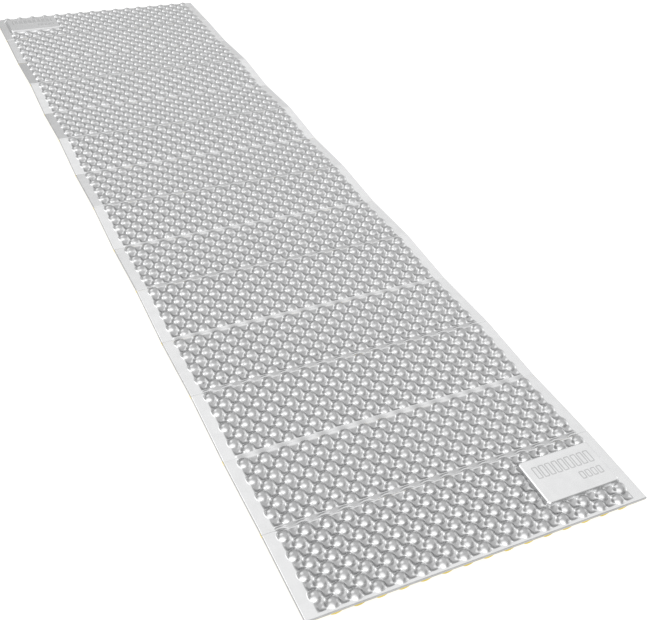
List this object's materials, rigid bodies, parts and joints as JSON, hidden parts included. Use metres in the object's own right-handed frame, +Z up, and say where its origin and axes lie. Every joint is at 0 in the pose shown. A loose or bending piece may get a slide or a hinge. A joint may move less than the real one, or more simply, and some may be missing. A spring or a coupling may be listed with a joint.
{
  "type": "foam sleeping pad",
  "caption": "Accordion-folding closed-cell foam sleeping pad of egg-crate panels joined by pressed hinges, with a metallised upper face and a raised blank plaque at each end.",
  "frame": {"origin": "middle of the open pad's outline, on the surface it lies on", "axes": "+Y along the pad from its first panel to its last, +X across it, +Z up"},
  "size_m": [0.51, 1.8336, 0.0274],
  "materials": {
    "foam": "closed-cell polyethylene foam with a fine matt skin",
    "film": "satin metallised film, slightly creased",
    "hinge": "pressed foam and film laminate, film side up"
  },
  "bodies": {
    "panel_01": {"foam_panel_01": "foam", "film_panel_01": "film", "fold_hinge_01": "hinge"},
    "panel_02": {"foam_panel_02": "foam", "film_panel_02": "film", "fold_hinge_02": "hinge"},
    "panel_03": {"foam_panel_03": "foam", "film_panel_03": "film", "fold_hinge_03": "hinge"},
    "panel_04": {"foam_panel_04": "foam", "film_panel_04": "film", "fold_hinge_04": "hinge"},
    "panel_05": {"foam_panel_05": "foam", "film_panel_05": "film", "fold_hinge_05": "hinge"},
    "panel_06": {"foam_panel_06": "foam", "film_panel_06": "film", "fold_hinge_06": "hinge"},
    "panel_07": {"foam_panel_07": "foam", "film_panel_07": "film", "fold_hinge_07": "hinge"},
    "panel_08": {"foam_panel_08": "foam", "film_panel_08": "film", "fold_hinge_08": "hinge"},
    "panel_09": {"foam_panel_09": "foam", "film_panel_09": "film", "fold_hinge_09": "hinge"},
    "panel_10": {"foam_panel_10": "foam", "film_panel_10": "film", "fold_hinge_10": "hinge"},
    "panel_11": {"foam_panel_11": "foam", "film_panel_11": "film", "fold_hinge_11": "hinge"},
    "panel_12": {"foam_panel_12": "foam", "film_panel_12": "film", "fold_hinge_12": "hinge"},
    "panel_13": {"foam_panel_13": "foam", "film_panel_13": "film", "fold_hinge_13": "hinge"},
    "panel_14": {"foam_panel_14": "foam", "film_panel_14": "film"}
  },
  "joints": [
    {"name": "crease_01", "type": "hinge", "parent": "panel_02", "child": "panel_01", "pos_m": [0, -0.78601, 0.00726], "axis": [1, 0, 0], "range_deg": [0, 177.63], "deforming": ["fold_hinge_01"]},
    {"name": "crease_02", "type": "hinge", "parent": "panel_02", "child": "panel_03", "pos_m": [0, -0.65513, 0.01456], "axis": [1, 0, 0], "range_deg": [0, 173.03], "deforming": ["fold_hinge_02"]},
    {"name": "crease_03", "type": "hinge", "parent": "panel_03", "child": "panel_04", "pos_m": [0, -0.52414, 0.00976], "axis": [-1, 0, 0], "range_deg": [0, 175.43], "deforming": ["fold_hinge_03"]},
    {"name": "crease_04", "type": "hinge", "parent": "panel_04", "child": "panel_05", "pos_m": [0, -0.39314, 0.01456], "axis": [1, 0, 0], "range_deg": [0, 175.13], "deforming": ["fold_hinge_04"]},
    {"name": "crease_05", "type": "hinge", "parent": "panel_05", "child": "panel_06", "pos_m": [0, -0.26212, 0.01047], "axis": [-1, 0, 0], "range_deg": [0, 174.82], "deforming": ["fold_hinge_05"]},
    {"name": "crease_06", "type": "hinge", "parent": "panel_06", "child": "panel_07", "pos_m": [0, -0.13111, 0.01456], "axis": [1, 0, 0], "range_deg": [0, 174.73], "deforming": ["fold_hinge_06"]},
    {"name": "crease_07", "type": "hinge", "parent": "panel_07", "child": "panel_08", "pos_m": [0, -0.00008, 0.01067], "axis": [-1, 0, 0], "range_deg": [0, 174.64], "deforming": ["fold_hinge_07"]},
    {"name": "crease_08", "type": "hinge", "parent": "panel_08", "child": "panel_09", "pos_m": [0, 0.13094, 0.01456], "axis": [1, 0, 0], "range_deg": [0, 173.72], "deforming": ["fold_hinge_08"]},
    {"name": "crease_09", "type": "hinge", "parent": "panel_09", "child": "panel_10", "pos_m": [0, 0.26201, 0.01277], "axis": [-1, 0, 0], "range_deg": [0, 172.8], "deforming": ["fold_hinge_09"]},
    {"name": "crease_10", "type": "hinge", "parent": "panel_10", "child": "panel_11", "pos_m": [0, 0.39308, 0.01456], "axis": [1, 0, 0], "range_deg": [0, 172.76], "deforming": ["fold_hinge_10"]},
    {"name": "crease_11", "type": "hinge", "parent": "panel_11", "child": "panel_12", "pos_m": [0, 0.52415, 0.01288], "axis": [-1, 0, 0], "range_deg": [0, 172.71], "deforming": ["fold_hinge_11"]},
    {"name": "crease_12", "type": "hinge", "parent": "panel_12", "child": "panel_13", "pos_m": [0, 0.65523, 0.01456], "axis": [1, 0, 0], "range_deg": [0, 173.11], "deforming": ["fold_hinge_12"]},
    {"name": "crease_13", "type": "hinge", "parent": "panel_13", "child": "panel_14", "pos_m": [0, 0.78604, 0.00626], "axis": [-1, 0, 0], "range_deg": [0, 178.5], "deforming": ["fold_hinge_13"]}
  ]
}
